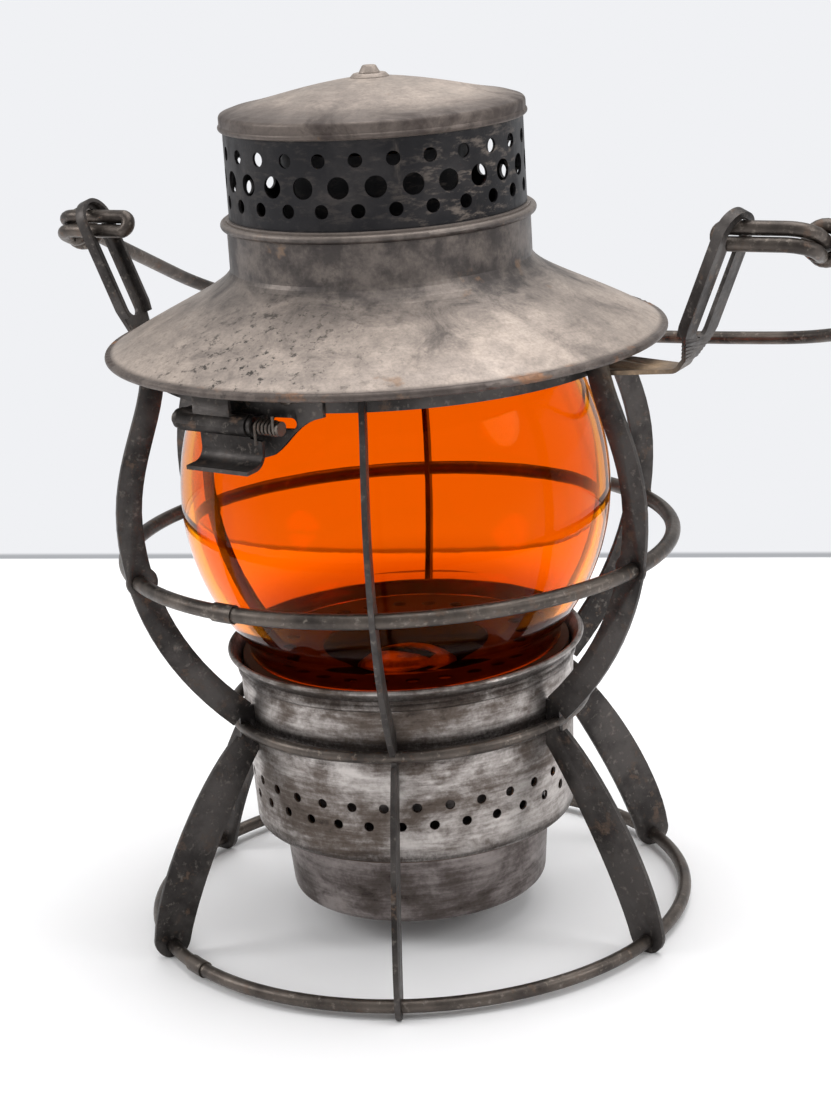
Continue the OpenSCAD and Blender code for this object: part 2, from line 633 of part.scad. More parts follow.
// Lid
module smoke_dome() color("#8d857b") {
    turned(sheet_outline(dome_line, lid_wall));
    ring(skirt_r - 1.1, 2.2, skirt_z - 0.7);
    ring(neck_r + 0.5, 2.4, neck_top_z - 1.8);
}
chimney_r = neck_r - lid_wall - fit_gap;
row_heights = [5.3, 11.4, 18.4];
module chimney_band() color("#4a4744") difference() {
    tube(chimney_r, lid_wall, neck_top_z - 5, chimney_h + 5);
    for (row = [0 : 2], i = [0 : chimney_holes - 1])
        at_azimuth(360 / chimney_holes * (i + (row == 1 ? 0 : 0.5)))
            translate([chimney_r - 5, 0, neck_top_z + row_heights[row]]) rotate([0, 90, 0])
                cylinder(d = row == 1 ? big_hole_d : small_hole_d, h = 10);
}
cap_r = chimney_r + fit_gap + lid_wall;
cap_line = concat(
    [[cap_r, chimney_top_z - 3]],
    arc(cap_r - 1.3, chimney_top_z + fit_gap + lid_wall - 1.3, 1.3, 0, 62, 4),
    bezier([cap_r - 3, chimney_top_z + lid_wall + fit_gap + 0.6],
        [cap_r - 13, chimney_top_z + 0.38 * cap_rise],
        [22, chimney_top_z + 0.72 * cap_rise], [5, chimney_top_z + cap_rise], 8));
module chimney_cap() color("#90877c") difference() {
    union() {
        turned(sheet_outline(cap_line, lid_wall));
        ring(cap_r - 0.5, 1.8, chimney_top_z - 3);
        translate([0, 0, chimney_top_z + cap_rise - lid_wall]) cylinder(r = 5.2, h = lid_wall);
    }
    tube(chimney_r + fit_gap, 3, chimney_top_z - 12, 12);
    cylinder(d = rivet_d, h = 2 * chimney_top_z);
}
cap_top_z = chimney_top_z + cap_rise;
module cap_washer() color("#6f665c") translate([0, 0, cap_top_z]) difference() {
    cylinder(r1 = 5.4, r2 = 4.4, h = 1);
    translate([0, 0, -1]) cylinder(d = rivet_d, h = 3);
}
module cap_rivet() color("#4a443f") {
    translate([0, 0, cap_top_z - lid_wall - 1.2]) cylinder(d = rivet_d, h = lid_wall + 3);
    translate([0, 0, cap_top_z + 1]) cylinder(r1 = 3, r2 = 1.8, h = 2.1);
    translate([0, 0, cap_top_z - lid_wall - 1.2]) cylinder(r = 2.4, h = 1.2);
}
// Pressed plate: a seat on the band, a step down inside it, and a plate over the globe
plate_z = globe_top_z + run_gap;
module globe_plate() color("#7a7269") difference() {
    turned([[band_r + 2.8, seat_z + 6], [band_r + 2.8, seat_z], [band_r - 1.9, seat_z],
        [band_r - 7, plate_z], [draft_r, plate_z], [draft_r, plate_z + lid_wall],
        [band_r - 7.4, plate_z + lid_wall], [band_r - 2.3, seat_z + lid_wall],
        [band_r + 2, seat_z + lid_wall], [band_r + 2, seat_z + 6]]);
    above_skirt();
}
module draft_tube() color("#5d564f") {
    tube(draft_r - fit_gap, 0.5, plate_z, chimney_top_z - 10 - plate_z);
    tube(draft_r + 1.5, 1.5 + fit_gap, plate_z + lid_wall + fit_gap, 1);
}

// Fount and burner
module fount_pot() color("#7a736d") union() {
    turned(sheet_outline(concat(
        [[0.5, fount_z + 1.2], [fount_r - 5, fount_z + 1.2], [fount_r - 4.4, fount_z]],
        arc(fount_r - 3.4, fount_z + 2.6, 2.6, -90, -4, 5),
        [[fount_r, fount_z + 12], [fount_r, fount_top_z]]), fount_wall));
    translate([0, 0, fount_z + 1.2]) cylinder(r = 1, h = fount_wall);
    ring(fount_r + 0.2, 2, cup_z - run_gap - 1.1);
}
neck_hole_r = 10.5;
module fount_top() color("#857d75") turned([[neck_hole_r, fount_top_z], [neck_hole_r, fount_top_z - 0.7],
    [fount_r - 3, fount_top_z - 2.4], [fount_r - fount_wall - fit_gap, fount_top_z - 2.4],
    [fount_r - fount_wall - fit_gap, fount_top_z - 0.4], [fount_r - 3, fount_top_z - 1.7]]);
module fount_lugs() color("#857d75") for (a = lug_azimuths) at_azimuth(a) rotate([0, 0, -notch_half + 1])
    translate([0, 0, cup_z + cup_wall + run_gap]) rotate_extrude(angle = 2 * notch_half - 2)
        translate([fount_r + fit_gap, 0]) square([2.3, 1.6]);
module burner_collar() color("#9a7b3c") difference() {
    translate([0, 0, fount_top_z]) cylinder(r = gallery_r - 2.6, h = 4 - fit_gap);
    translate([0, 0, fount_top_z - 1]) cylinder(r = neck_hole_r, h = 8);
}
tube_wall = 0.4;
wheel_room = 2 * wick_wheel_r + 0.9;
tube_w = wick_w + 2 * (tube_wall + 0.2);
tube_t = wick_t + 2 * (tube_wall + 0.2);
wheel_y = -(wick_t / 2 + wick_wheel_r + 0.05);
shaft_d = 1.8;
module burner_gallery() color("#a5853f") difference() {
    union() {
        tube(gallery_r, 0.8, gallery_z, gallery_h);
        translate([0, 0, gallery_z]) cylinder(r = gallery_r - 0.5, h = 0.8);
    }
    cube([tube_w + 2 * fit_gap, tube_t + 2 * fit_gap, 4 * gallery_z], center = true);
    for (i = [0 : 17]) at_azimuth(20 * i + 10) translate([gallery_r - 3, 0, gallery_z + 2.4])
        rotate([0, 90, 0]) cylinder(d = 2.2, h = 6);
    translate([0, wheel_y, wheel_z]) rotate([0, 90, 0])
        cylinder(d = shaft_d + 2 * pin_gap, h = 3 * gallery_r);
}
cone_h = 10.5;
module burner_cone() color("#a5853f") difference() {
    turned(sheet_outline(concat([[gallery_r, cone_z + run_gap]], bezier([gallery_r - 0.6, cone_z + 1.6],
        [gallery_r - 2.4, cone_z + 6], [gallery_r - 7, cone_z + cone_h],
        [2, cone_z + cone_h], 8)), 0.6));
    cube([wick_w + 4.5, 4.6, 4 * cone_z], center = true);
}
wick_top_z = cone_z + 2.8;
wick_foot_z = fount_z + 2 + wick_travel;
module wick_tube() color("#8f7238") difference() {
    translate([0, 0, (fount_top_z - 8 + wick_top_z - 1) / 2])
        cube([tube_w, tube_t, wick_top_z - 1 - fount_top_z + 8], center = true);
    cube([wick_w + 0.4, wick_t + 0.4, 4 * wick_top_z], center = true);
    translate([0, wheel_y, wheel_z]) cube([9.4, wheel_room, wheel_room], center = true);
}
module wick() color("#d9cdb4") translate([0, 0, (wick_top_z + wick_foot_z) / 2])
    cube([wick_w, wick_t, wick_top_z - wick_foot_z], center = true);
module wick_wheel() color("#9a7b3c") translate([0, wheel_y, wheel_z]) rotate([0, 90, 0]) {
    translate([0, 0, -5.4]) cylinder(d = shaft_d, h = 5.4 + wick_knob_reach - 3);
    for (x = [-3.6, 1.8]) translate([0, 0, x]) difference() {
        cylinder(r = wick_wheel_r, h = 1.8);
        for (i = [0 : 11]) rotate([0, 0, 30 * i]) translate([wick_wheel_r, 0, -1])
            cylinder(d = 0.9, h = 4);
    }
}
module wick_knob() color("#8f7238") translate([wick_knob_reach - 3, wheel_y, wheel_z]) rotate([0, 90, 0])
    difference() {
        cylinder(d = wick_knob_d, h = 3);
        for (i = [0 : 15]) rotate([0, 0, 22.5 * i]) translate([wick_knob_d / 2 + 0.3, 0, -1])
            cylinder(d = 1.4, h = 5);
    }

// Bail: one wire, bent back on itself through each ear and wrapped once round its own side
eye_bend_r = pair_pitch / 2;
eye_turn_x = eye_in + bail_wire_d / 2 + eye_bend_r;
corner_r = 7;
wrap_r = bail_wire_d + 0.3;
wrap_up = 10;
wrap_rise = 4.6;
wrap_turns = 1.25;
arch_drop = bail_top_r - bail_corner_r;
arch_run = bail_half_w - bail_corner_r;
side_top = bail_h - bail_top_r + sqrt(arch_drop * arch_drop - arch_run * arch_run);
top_half_angle = atan2(arch_run, side_top - bail_h + bail_top_r);
function in_plane(points, y) = [for (p = points) [p[0], y, p[1]]];
wrap_path = [for (i = [round(12 * wrap_turns) : -1 : 0]) let (a = 90 + 30 * i)
    [bail_half_w + wrap_r * cos(a), -eye_bend_r + wrap_r * sin(a), wrap_up + wrap_rise * i / 12]];
eye_path = concat(
    in_plane(reversed(arc(bail_half_w - corner_r, corner_r, corner_r, -90, 0, 6)), eye_bend_r),
    [for (a = [90 : 22.5 : 270]) [eye_turn_x + eye_bend_r * cos(a), eye_bend_r * sin(a), 0]],
    in_plane(arc(bail_half_w - corner_r, corner_r, corner_r, -90, 0, 6), -eye_bend_r));
arch_path = in_plane(concat(
    arc(bail_half_w - bail_corner_r, side_top, bail_corner_r, 0, 90 - top_half_angle, 12),
    [for (p = arc(0, bail_h - bail_top_r, bail_top_r, 90 - top_half_angle, 90, 4))
        if (p[1] > 0 && p[0] < arch_run) p]),
    -eye_bend_r);
half_path = concat(wrap_path, eye_path, arch_path);
bail_path = concat(half_path,
    [for (p = reversed([for (i = [0 : len(half_path) - 2]) half_path[i]])) [-p[0], p[1], p[2]]]);
module bail() color("#453e39") translate([bail_shift, 0, pivot_z]) rotate([-90 - bail_rest, 0, 0])
    swept(bail_path, bail_wire_d, 10);

base_ring();
middle_ring();
waist_ring();
guard_bar(0);  // guard_bar_1
guard_bar(1);  // guard_bar_2
guard_bar(2);  // guard_bar_3
guard_bar(3);  // guard_bar_4
guard_bar(4);  // guard_bar_5
guard_bar(5);  // guard_bar_6
top_band();
bail_ear_left();
bail_ear_right();
frame_rivets();
globe_cup();
globe_seat();
globe();
hinge_bracket();
hinge_pin();
latch_bracket();
latch_pin();
latch_spring();
smoke_dome();
chimney_band();
chimney_cap();
cap_washer();
cap_rivet();
draft_tube();
globe_plate();
hinge_leaf();
latch_catch();
latch_lever();
fount_pot();
fount_top();
fount_lugs();
burner_collar();
burner_gallery();
burner_cone();
wick_tube();
wick();
wick_wheel();
wick_knob();
bail();
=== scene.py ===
# Railroad hand lantern, dressed on its CAD frame. Metres, +Z up, latch towards -Y, bail towards +Y.
import bpy
import json
from math import asin, atan2, cos, degrees, radians, sin, sqrt
from mathutils import Matrix, Vector


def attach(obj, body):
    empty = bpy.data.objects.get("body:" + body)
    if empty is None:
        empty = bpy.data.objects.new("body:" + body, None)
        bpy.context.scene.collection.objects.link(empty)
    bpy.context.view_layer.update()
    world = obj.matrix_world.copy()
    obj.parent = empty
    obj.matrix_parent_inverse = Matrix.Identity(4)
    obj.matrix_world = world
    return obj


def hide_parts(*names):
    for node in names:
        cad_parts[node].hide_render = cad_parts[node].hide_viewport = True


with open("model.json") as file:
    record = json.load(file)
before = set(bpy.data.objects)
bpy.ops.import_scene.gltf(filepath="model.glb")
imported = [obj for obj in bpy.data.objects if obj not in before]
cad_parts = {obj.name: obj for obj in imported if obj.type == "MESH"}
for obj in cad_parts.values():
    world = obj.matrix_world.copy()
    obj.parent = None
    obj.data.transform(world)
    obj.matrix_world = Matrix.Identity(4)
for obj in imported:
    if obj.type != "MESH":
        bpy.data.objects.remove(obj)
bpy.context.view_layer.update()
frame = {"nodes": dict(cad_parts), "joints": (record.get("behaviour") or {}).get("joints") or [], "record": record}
nodes = frame["nodes"]
joints = {joint["name"]: joint for joint in frame["joints"]}
scene = bpy.context.scene
latchAzimuth, hingeAzimuth = -8, 172  # the hinge is straight behind the latch
mergeGap = 0.00001  # points closer than this are one point
print("frame loaded:", len(nodes), "nodes")


def deselectAll():
    if bpy.context.object and bpy.context.object.mode != "OBJECT":
        bpy.ops.object.mode_set(mode="OBJECT")
    bpy.ops.object.select_all(action="DESELECT")


def pick(*pieces):
    deselectAll()
    for piece in pieces:
        piece.select_set(True)
    bpy.context.view_layer.objects.active = pieces[-1]


def settle(piece, name, angle):  # place into the mesh, faces outwards, smooth up to an angle
    pick(piece)
    piece.name = name
    bpy.ops.object.transform_apply(location=True, rotation=True, scale=True)
    bpy.ops.object.mode_set(mode="EDIT")
    bpy.ops.mesh.select_all(action="SELECT")
    bpy.ops.mesh.remove_doubles(threshold=mergeGap)
    bpy.ops.mesh.normals_make_consistent(inside=False)
    bpy.ops.object.mode_set(mode="OBJECT")
    bpy.ops.object.shade_smooth_by_angle(angle=radians(angle))
    return piece


def twinOf(piece):  # a copy with its own mesh
    twin = piece.copy()
    twin.data = piece.data.copy()
    scene.collection.objects.link(twin)
    return twin


def copies(piece, places):  # one at each place, joined into the first
    made = [piece]
    for place in places[1:]:
        twin = twinOf(piece)
        twin.matrix_world = place @ piece.matrix_world
        made.append(twin)
    piece.matrix_world = places[0] @ piece.matrix_world
    pick(*made[1:], made[0])
    bpy.ops.object.join()
    return bpy.context.object


def around(azimuth):  # azimuth 0 is -Y and 90 is +X; the piece is built along +X
    return Matrix.Rotation(radians(azimuth - 90), 4, "Z")


def arcPoints(x, z, radius, start, end, count):
    steps = [radians(start + (end - start) * i / count) for i in range(count + 1)]
    return [(x + radius * cos(a), z + radius * sin(a)) for a in steps]


def lineThrough(points, closed=False):  # a curve of straight steps from point to point
    deselectAll()
    bpy.ops.curve.primitive_nurbs_path_add()
    curve = bpy.context.object
    curve.data.splines.clear()
    line = curve.data.splines.new("POLY")
    line.points.add(len(points) - 1)
    for point, place in zip(line.points, points):
        point.co = (*place, 1)
    line.use_cyclic_u = closed
    return curve


# Camera where the photograph was taken
view = {"place": (0.320874, -0.603477, 0.3065), "right": (0.892327, 0.447365, -0.060144),
        "up": (-0.074101, 0.276613, 0.958120), "ahead": (-0.445266, 0.850500, -0.279979),
        "lens": 81.825, "sensor": 36, "near": 0.02}
bpy.ops.object.camera_add()
camera = bpy.context.object
camera.data.sensor_fit = "VERTICAL"
camera.data.sensor_height = view["sensor"]
camera.data.lens = view["lens"]
camera.data.clip_start = view["near"]
turn = Matrix((view["right"], view["up"], [-a for a in view["ahead"]])).transposed().to_4x4()
camera.matrix_world = Matrix.Translation(view["place"]) @ turn
scene.camera = camera
print("camera placed")


class Value:  # a socket that Python can reckon with: each step adds a Math node
    def __init__(self, nodes, socket):
        self.nodes, self.socket = nodes, socket

    def reckon(self, operation, *numbers):
        return self.nodes.node("ShaderNodeMath", {"operation": operation}, dict(enumerate(numbers)))

    def __add__(self, other):
        return self.reckon("ADD", self, other)

    def __radd__(self, other):
        return self.reckon("ADD", other, self)

    def __sub__(self, other):
        return self.reckon("SUBTRACT", self, other)

    def __rsub__(self, other):
        return self.reckon("SUBTRACT", other, self)

    def __mul__(self, other):
        return self.reckon("MULTIPLY", self, other)

    def __rmul__(self, other):
        return self.reckon("MULTIPLY", other, self)

    def __pow__(self, other):
        return self.reckon("POWER", self, other)

    def __abs__(self):
        return self.reckon("ABSOLUTE", self)

    def over(self, other):  # the larger of two
        return self.reckon("MAXIMUM", self, other)

    def clamped(self):  # kept between 0 and 1
        return self.nodes.node("ShaderNodeMath", {"operation": "ADD", "use_clamp": True}, {0: self, 1: 0.0})


class Nodes:  # a node tree; node() makes any node from its settings and what its sockets get
    def __init__(self, tree):
        self.tree = tree

    def feed(self, socket, value):
        if isinstance(value, Value):
            self.tree.links.new(value.socket, socket)
        else:
            socket.default_value = value

    def node(self, kind, settings=None, sockets=None, out=0):
        made = self.tree.nodes.new(kind)
        for name, setting in (settings or {}).items():
            setattr(made, name, setting)
        for name, value in (sockets or {}).items():
            self.feed(made.inputs[name], value)
        return Value(self, made.outputs[out])

    def seenBy(self, *rays):  # 1 for these kinds of ray
        total = self.node("ShaderNodeLightPath", out=rays[0])
        for ray in rays[1:]:
            total = total + self.node("ShaderNodeLightPath", out=ray)
        return total.clamped()

    def end(self, name, shader):
        self.feed(self.tree.nodes[name].inputs["Surface"], shader)


class Finish(Nodes):  # a material whose patterns lie on object coordinates, in metres
    def __init__(self, name, **sockets):
        self.material = bpy.data.materials.new(name)
        self.material.use_nodes = True
        super().__init__(self.material.node_tree)
        self.shader = self.tree.nodes["Principled BSDF"]
        self.point = self.node("ShaderNodeTexCoord", out="Object")
        for socket, value in sockets.items():
            self.give(socket.replace("_", " "), value)

    def give(self, socket, value):
        self.feed(self.shader.inputs[socket], value)

    def noise(self, scale, detail=4, roughness=0.55, stretch=(1, 1, 1), shift=0.0, twist=0.0, at=None):
        # two noises with different shifts don't follow each other
        place = self.node("ShaderNodeMapping", {}, {"Vector": at or self.point, "Scale": stretch,
                                                    "Location": (shift, shift * 0.7, shift * 0.3)})
        return self.node("ShaderNodeTexNoise", {}, {"Vector": place, "Scale": scale, "Detail": detail,
                                                    "Roughness": roughness, "Distortion": twist}, "Fac")

    def span(self, value, low, high, start=0.0, end=1.0):  # start at low, end at high, smooth between
        return self.node("ShaderNodeMapRange", {"interpolation_type": "SMOOTHSTEP"},
                         {"Value": value, "From Min": low, "From Max": high,
                          "To Min": start, "To Max": end}, "Result")

    def blend(self, factor, a, b):  # colour a at 0, b at 1
        return self.node("ShaderNodeMix", {"data_type": "RGBA"}, {0: factor, 6: a, 7: b}, 2)

    def along(self, axis):
        return self.node("ShaderNodeSeparateXYZ", {}, {"Vector": self.point}, axis)

    def radius(self):
        x, y = self.along("X"), self.along("Y")
        return (x * x + y * y) ** 0.5

    def radial(self):  # radius and height as a point, for marks that run round the lantern
        return self.node("ShaderNodeCombineXYZ", {}, {"X": self.radius(), "Z": self.along("Z")})

    def near(self, place, reach):  # 1 at a place, 0 beyond its reach
        away = self.node("ShaderNodeVectorMath", {"operation": "DISTANCE"}, {0: self.point, 1: place}, "Value")
        return self.span(away, 0.0, reach, 1.0, 0.0)

    def bump(self, height, depth, strength=1.0):
        self.give("Normal", self.node("ShaderNodeBump", {}, {"Height": height, "Distance": depth,
                                                             "Strength": strength}))


def linear(c):  # one screen value of 0 to 255, by the sRGB curve
    return c / 255 / 12.92 if c <= 10 else ((c / 255 + 0.055) / 1.055) ** 2.4


def rgb(r, g, b):
    return linear(r), linear(g), linear(b), 1.0


# In each finish, dict() holds a noise, and a name that ends in Cover says how much of it shows, as span()
# takes it. Names that end in Z or R are heights or radii, in pairs where a mark fades between them.
# The dark brown-grey paints shadow under the skirt's rolled edge and darkens the cap's upright side.
# The dark grey tone paints shade on the lid's neck and also darkens the grain.
lidTin = {"pale": rgb(184, 170, 159), "grey": rgb(146, 135, 127), "dark": rgb(96, 89, 86),
          "soot": rgb(62, 57, 56), "fleck": rgb(60, 55, 51), "rust": rgb(142, 112, 86),
          "grime": rgb(60, 51, 48), "orange": rgb(168, 112, 64), "metal": 0.6, "roughness": (0.4, 0.68),
          "clouds": dict(scale=20, detail=6, roughness=0.6),
          "patches": dict(scale=60, detail=7, roughness=0.7, shift=3, twist=0.6),
          "blots": dict(scale=150, detail=6, roughness=0.65, shift=11),
          "grain": dict(scale=1100, detail=3, roughness=0.6),
          "rings": dict(scale=700, detail=3, roughness=0.6),
          "edgeRust": dict(scale=75, detail=4, roughness=0.6, shift=14),
          "flecks": dict(scale=420, detail=5, roughness=0.7, shift=9),
          "rustSpots": dict(scale=95, detail=5, roughness=0.6, shift=5),
          "waves": dict(scale=28, detail=2, roughness=0.4, shift=7),
          "greyCover": (0.38, 0.62), "patchCover": (0.52, 0.7, 0.0, 0.5), "sootCover": (0.42, 0.6, 0.97, 0.5),
          "capCover": (0.4, 0.6, 0.72, 0.95), "edgeCover": (0.35, 0.6, 0.92, 0.7),
          "edgeRustCover": (0.56, 0.66, 0.0, 0.5), "fleckCover": (0.54, 0.66),
          "rustCover": (0.64, 0.74, 0.0, 0.55), "ringCover": (0.4, 0.7, 0.0, 0.14),
          "grainCover": (0.42, 0.62, 0.0, 0.16),
          "neckZ": (0.1775, 0.1915), "neckRagged": 0.03, "beadZ": (0.2032, 0.2046), "beadSoot": 0.66,
          "chimneyTopZ": (0.226, 0.232), "capZ": (0.2286, 0.2296), "shoulderZ": (0.2334, 0.2372),
          "edgeR": (0.0752, 0.0768), "flecked": (-0.005, -0.066, 0.176), "fleckedReach": 0.05,
          "fleckedElsewhere": 0.14, "waveDepth": 0.00012}


def makeLidTin():
    t = lidTin
    f = Finish("lidTin", Metallic=t["metal"])
    z, r = f.along("Z"), f.radius()
    cloud, patch, blot = f.noise(**t["clouds"]), f.noise(**t["patches"]), f.noise(**t["blots"])
    grain, rings = f.noise(**t["grain"]), f.noise(**t["rings"], at=f.radial())
    colour = f.blend(f.span(cloud * 0.6 + blot * 0.4, *t["greyCover"]), t["pale"], t["grey"])
    colour = f.blend(f.span(patch, *t["patchCover"]), colour, t["dark"])
    # painted shade on the upright neck, standing for the dark room it reflects, less of it on its bead, with a
    # ragged lower edge
    ragged = z + (patch - 0.5) * t["neckRagged"]
    paintedNeckShade = f.span(ragged, *t["neckZ"]) * f.span(z, *t["chimneyTopZ"], 1.0, 0.0)
    paintedNeckShade = paintedNeckShade * f.span(z, *t["beadZ"], 1.0, t["beadSoot"])
    colour = f.blend(paintedNeckShade * f.span(blot * 0.5 + cloud * 0.5, *t["sootCover"]), colour, t["soot"])
    # the cap's upright side, darker in patches
    side = f.span(z, *t["capZ"]) * f.span(z, *t["shoulderZ"], 1.0, 0.0)
    colour = f.blend(side * f.span(patch, *t["capCover"]), colour, t["grime"])
    # the skirt's rolled edge, with painted shadow under the roll in patches, and rust in places
    edge = f.span(r, *t["edgeR"])
    colour = f.blend(edge * f.span(blot, *t["edgeCover"]), colour, t["grime"])
    edgeRust = f.span(f.noise(**t["edgeRust"]), *t["edgeRustCover"])
    colour = f.blend(edge * edgeRust, colour, t["orange"])
    # flecks, most of them at one place of the skirt
    flecks = f.span(f.noise(**t["flecks"]), *t["fleckCover"])
    flecks = flecks * (t["fleckedElsewhere"] + f.near(t["flecked"], t["fleckedReach"]))
    colour = f.blend(flecks.clamped(), colour, t["fleck"])
    colour = f.blend(f.span(f.noise(**t["rustSpots"]), *t["rustCover"]), colour, t["rust"])
    colour = f.blend(f.span(rings, *t["ringCover"]), colour, t["dark"])
    colour = f.blend(f.span(grain, *t["grainCover"]), colour, t["soot"])
    f.give("Base Color", colour)
    f.give("Roughness", f.span(patch - paintedNeckShade * 0.2, 0.2, 0.75, *t["roughness"]))
    f.bump(f.noise(**t["waves"]) * 6.0 + grain * 0.35 + rings * 0.2, t["waveDepth"])
    return f.material


darkTin = {"soot": rgb(27, 26, 29), "worn": rgb(60, 57, 57), "pale": rgb(118, 108, 100),
           "metal": 0.6, "roughness": (0.42, 0.62),
           "clouds": dict(scale=45, detail=6, roughness=0.65),
           "streaks": dict(scale=160, detail=5, roughness=0.6, stretch=(1, 1, 0.35), shift=2),
           "scuffs": dict(scale=330, detail=6, roughness=0.7, stretch=(0.5, 0.5, 1.4), shift=8),
           "grain": dict(scale=1200, detail=3), "waves": dict(scale=60, detail=2),
           "wornCover": (0.45, 0.75, 0.0, 0.6), "streakCover": (0.62, 0.8, 0.0, 0.4), "scuffCover": (0.5, 0.68),
           "rubbed": (0.044, -0.016, 0.213), "rubbedReach": 0.034, "rubbedMost": 0.9, "rubbedElsewhere": 0.14,
           "grainDepth": 0.00005}


def makeDarkTin():
    t = darkTin
    f = Finish("darkTin", Metallic=t["metal"])
    cloud, streak, scuff = f.noise(**t["clouds"]), f.noise(**t["streaks"]), f.noise(**t["scuffs"])
    colour = f.blend(f.span(cloud, *t["wornCover"]), t["soot"], t["worn"])
    colour = f.blend(f.span(streak, *t["streakCover"]), colour, t["pale"])
    # scuffs, most of them where the band was rubbed bare
    rubbed = f.near(t["rubbed"], t["rubbedReach"]) * t["rubbedMost"] + t["rubbedElsewhere"]
    colour = f.blend((f.span(scuff, *t["scuffCover"]) * rubbed).clamped(), colour, t["pale"])
    f.give("Base Color", colour)
    f.give("Roughness", f.span(streak, 0.35, 0.7, *t["roughness"]))
    f.bump(f.noise(**t["grain"]) + f.noise(**t["waves"]) * 4.0, t["grainDepth"])
    return f.material


cageSteel = {"steel": rgb(80, 76, 74), "worn": rgb(124, 117, 111), "brown": rgb(92, 73, 60),
             "black": rgb(47, 44, 43), "metal": 0.85, "rustMetal": 0.35, "roughness": (0.40, 0.58),
             "clouds": dict(scale=55, detail=6, roughness=0.6),
             "scratches": dict(scale=520, detail=5, roughness=0.65, shift=4),
             "grain": dict(scale=1800, detail=3, roughness=0.6, shift=1),
             "rust": dict(scale=210, detail=6, roughness=0.7, shift=8),
             "blackCover": (0.38, 0.66), "wornCover": (0.54, 0.74, 0.0, 0.75), "rustCover": (0.55, 0.68),
             "rustCloudCover": (0.4, 0.6, 0.35, 1.0), "grainDepth": 0.00005}
ringSteel = {**cageSteel, "steel": rgb(98, 90, 84), "worn": rgb(146, 137, 128), "black": rgb(58, 53, 50),
             "roughness": (0.34, 0.52)}
bareTab = {"tan": rgb(204, 174, 140), "place": (0.077, -0.002, 0.1655), "reach": 0.015,
           "tanCover": (0.38, 0.56, 0.96, 0.5)}  # of the right ear


def makeSteel(name, t):
    f = Finish(name)
    cloud, scratch, grain = f.noise(**t["clouds"]), f.noise(**t["scratches"]), f.noise(**t["grain"])
    colour = f.blend(f.span(cloud, *t["blackCover"]), t["steel"], t["black"])
    colour = f.blend(f.span(scratch, *t["wornCover"]), colour, t["worn"])
    rust = f.span(f.noise(**t["rust"]), *t["rustCover"]) * f.span(cloud, *t["rustCloudCover"])
    colour = f.blend(rust, colour, t["brown"])
    bare = f.near(bareTab["place"], bareTab["reach"])
    bare = bare * f.span(cloud * 0.5 + scratch * 0.5, *bareTab["tanCover"])
    f.give("Base Color", f.blend(bare, colour, bareTab["tan"]))
    f.give("Metallic", f.span(rust, 0.0, 1.0, t["metal"], t["rustMetal"]))
    f.give("Roughness", f.span(scratch, 0.3, 0.75, *t["roughness"]) + rust * 0.2)
    f.bump(grain * 0.6 + scratch * 1.2, t["grainDepth"])
    return f.material


# "wear" is how much of the tin stays bright, and the names in By count from it. The cup's wall starts at
# wallR and wallZ and leans out by wallSlope.
fountTin = {"bright": rgb(150, 142, 139), "grey": rgb(112, 104, 102), "stain": rgb(80, 72, 68),
            "dark": rgb(50, 43, 40), "wear": 0.49, "metal": 0.9, "roughness": (0.32, 0.62),
            "clouds": dict(scale=30, detail=5, roughness=0.6, stretch=(1, 1, 1.5), twist=0.3),
            "blots": dict(scale=95, detail=6, roughness=0.68, stretch=(0.8, 0.8, 1.3), shift=12, twist=0.4),
            "brushing": dict(scale=240, detail=5, roughness=0.65, stretch=(0.3, 0.3, 3.2), shift=6),
            "grain": dict(scale=1000, detail=4, roughness=0.7, shift=2),
            "greyBy": (-0.08, 0.04), "stainBy": (0, 0.08), "darkBy": (0.07, 0.15), "roughBy": (-0.12, 0.15),
            "stainMost": 0.85, "brushDepth": 0.00004}
# The cup is darker under its lip, along its waist ring and towards its floor, and darker brown inside.
cupTin = {**fountTin, "bright": rgb(190, 184, 180), "grey": rgb(132, 125, 121), "stain": rgb(88, 77, 69),
          "soot": rgb(86, 62, 46), "wear": 0.48, "dirtCover": (0.35, 0.6, 0.6, 0.95),
          "waistZ": 0.0641, "waistReach": (0.0014, 0.0062), "lipZ": (0.0735, 0.0795),
          "lipTopZ": (0.0795, 0.0815), "floorZ": (0.0314, 0.0356), "ragged": 0.008,
          "wallR": 0.0462, "wallZ": 0.0324, "wallSlope": 0.0391, "insideR": (-0.0007, -0.0004)}


